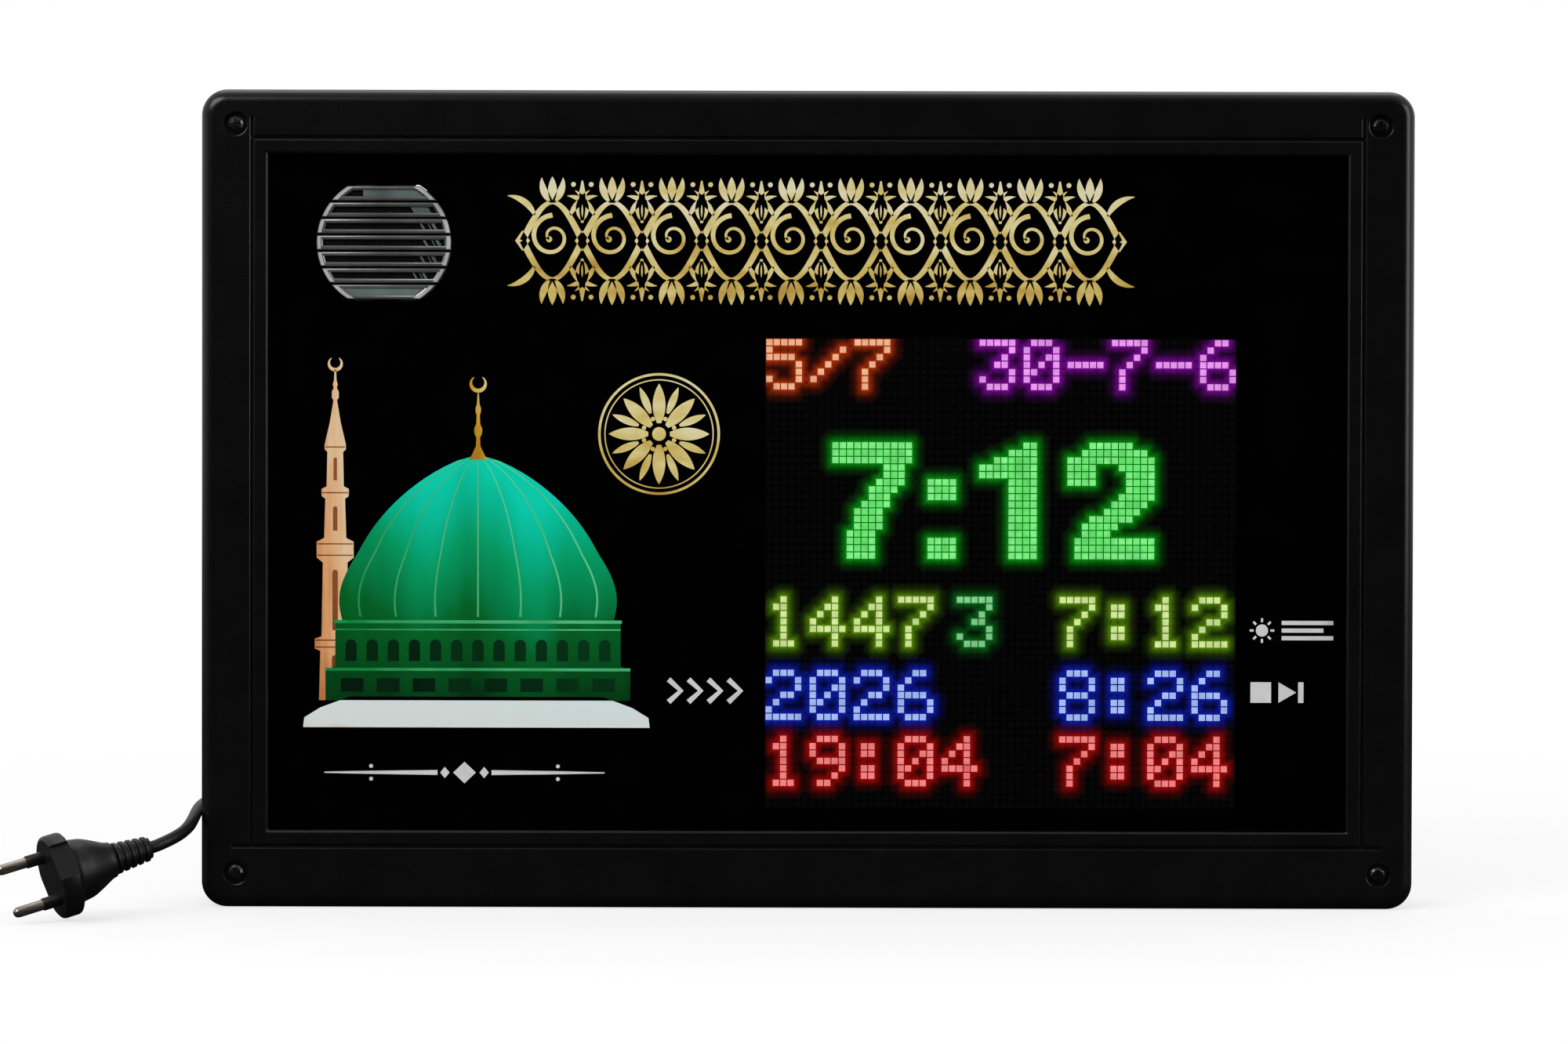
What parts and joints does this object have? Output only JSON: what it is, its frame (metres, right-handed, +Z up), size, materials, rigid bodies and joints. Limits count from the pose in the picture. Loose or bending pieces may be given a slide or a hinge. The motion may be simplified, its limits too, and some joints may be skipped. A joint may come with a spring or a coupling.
{
  "type": "azan clock",
  "caption": "Wall or desk prayer-time clock: black moulded frame, colour LED matrix behind a clear printed front, louvred speaker, rear controls and a mains lead with plug.",
  "frame": {"origin": "middle of the case's footprint on the surface it stands on, without the cord and plug", "axes": "+Z up, the lit front faces -Y, +X is the viewer's right"},
  "size_m": [0.5647, 0.2108, 0.332],
  "materials": {
    "case_black": "satin black moulded plastic with a fine grain",
    "corner_black": "satin black moulded plastic",
    "zinc_steel": "zinc plated sheet",
    "screw_steel": "blackened screw steel",
    "clear_acrylic": "clear polished acrylic",
    "black_film": "printed black film",
    "smoked_chrome": "smoked chrome plating on plastic",
    "mask_black": "matt black louvre mask with light dots",
    "circuit_green": "solder mask over glass fibre board",
    "magnet_grey": "ferrite",
    "cone_paper": "black pressed paper",
    "soft_rubber": "soft black rubber",
    "supply_metal": "folded aluminium case",
    "cell_metal": "bright nickel plated steel",
    "ribbon_grey": "grey flat cable",
    "wire_red": "red wire insulation",
    "wire_black": "black wire insulation",
    "cover_black": "matt black sheet plastic",
    "control_grey": "dark grey moulded plastic",
    "cord_black": "black flexible cord sheath",
    "plug_black": "black moulded soft plastic",
    "pin_metal": "nickel plated brass"
  },
  "bodies": {
    "case": {"top_rail": "case_black", "bottom_rail": "case_black", "left_rail": "case_black", "right_rail": "case_black", "led_back_frame": "case_black", "corner_top_left": "corner_black", "corner_top_right": "corner_black", "corner_bottom_left": "corner_black", "corner_bottom_right": "corner_black", "corner_bracket_top_left": "zinc_steel", "corner_bracket_top_right": "zinc_steel", "corner_bracket_bottom_left": "zinc_steel", "corner_bracket_bottom_right": "zinc_steel", "hanger_left": "zinc_steel", "hanger_right": "zinc_steel", "speaker_basket": "zinc_steel", "volume_pot": "zinc_steel", "corner_screw_top_left": "screw_steel", "corner_screw_top_right": "screw_steel", "corner_screw_bottom_left": "screw_steel", "corner_screw_bottom_right": "screw_steel", "cover_screw_top_left": "screw_steel", "cover_screw_top_middle": "screw_steel", "cover_screw_top_right": "screw_steel", "cover_screw_bottom_left": "screw_steel", "cover_screw_bottom_middle": "screw_steel", "cover_screw_bottom_right": "screw_steel", "acrylic_front": "clear_acrylic", "printed_film": "black_film", "speaker_grille": "smoked_chrome", "led_mask": "mask_black", "led_board": "circuit_green", "controller_board": "circuit_green", "amplifier_board": "circuit_green", "button_board": "circuit_green", "speaker_magnet": "magnet_grey", "speaker_surround": "soft_rubber", "coil_tie": "soft_rubber", "power_supply": "supply_metal", "backup_cell": "cell_metal", "ribbon_cable": "ribbon_grey", "wire_red": "wire_red", "wire_black": "wire_black", "mains_wire": "wire_black", "rear_cover": "cover_black", "cord_lead": "cord_black", "cord_coil": "cord_black", "cord_tail": "cord_black", "cord_gland": "plug_black", "plug_body": "plug_black", "plug_relief": "plug_black", "plug_pin_upper": "pin_metal", "plug_pin_lower": "pin_metal"},
    "menu_key": {"button_menu": "control_grey"},
    "up_key": {"button_up": "control_grey"},
    "down_key": {"button_down": "control_grey"},
    "set_key": {"button_set": "control_grey"},
    "knob": {"volume_knob": "control_grey"},
    "cone": {"speaker_cone": "cone_paper"}
  },
  "joints": [
    {"name": "menu_press", "type": "slide", "parent": "case", "child": "menu_key", "axis": [0, -1, 0], "range_m": [0, 0.001], "stiffness_N_per_m": 300},
    {"name": "up_press", "type": "slide", "parent": "case", "child": "up_key", "axis": [0, -1, 0], "range_m": [0, 0.001], "stiffness_N_per_m": 300},
    {"name": "down_press", "type": "slide", "parent": "case", "child": "down_key", "axis": [0, -1, 0], "range_m": [0, 0.001], "stiffness_N_per_m": 300},
    {"name": "set_press", "type": "slide", "parent": "case", "child": "set_key", "axis": [0, -1, 0], "range_m": [0, 0.001], "stiffness_N_per_m": 300},
    {"name": "volume_turn", "type": "hinge", "parent": "case", "child": "knob", "pos_m": [0.084, 0.0133, 0.252], "axis": [0, 1, 0], "range_deg": [-150, 150]},
    {"name": "cone_stroke", "type": "slide", "parent": "case", "child": "cone", "axis": [0, -1, 0], "range_m": [-0.001, 0.001], "stiffness_N_per_m": 1200}
  ]
}
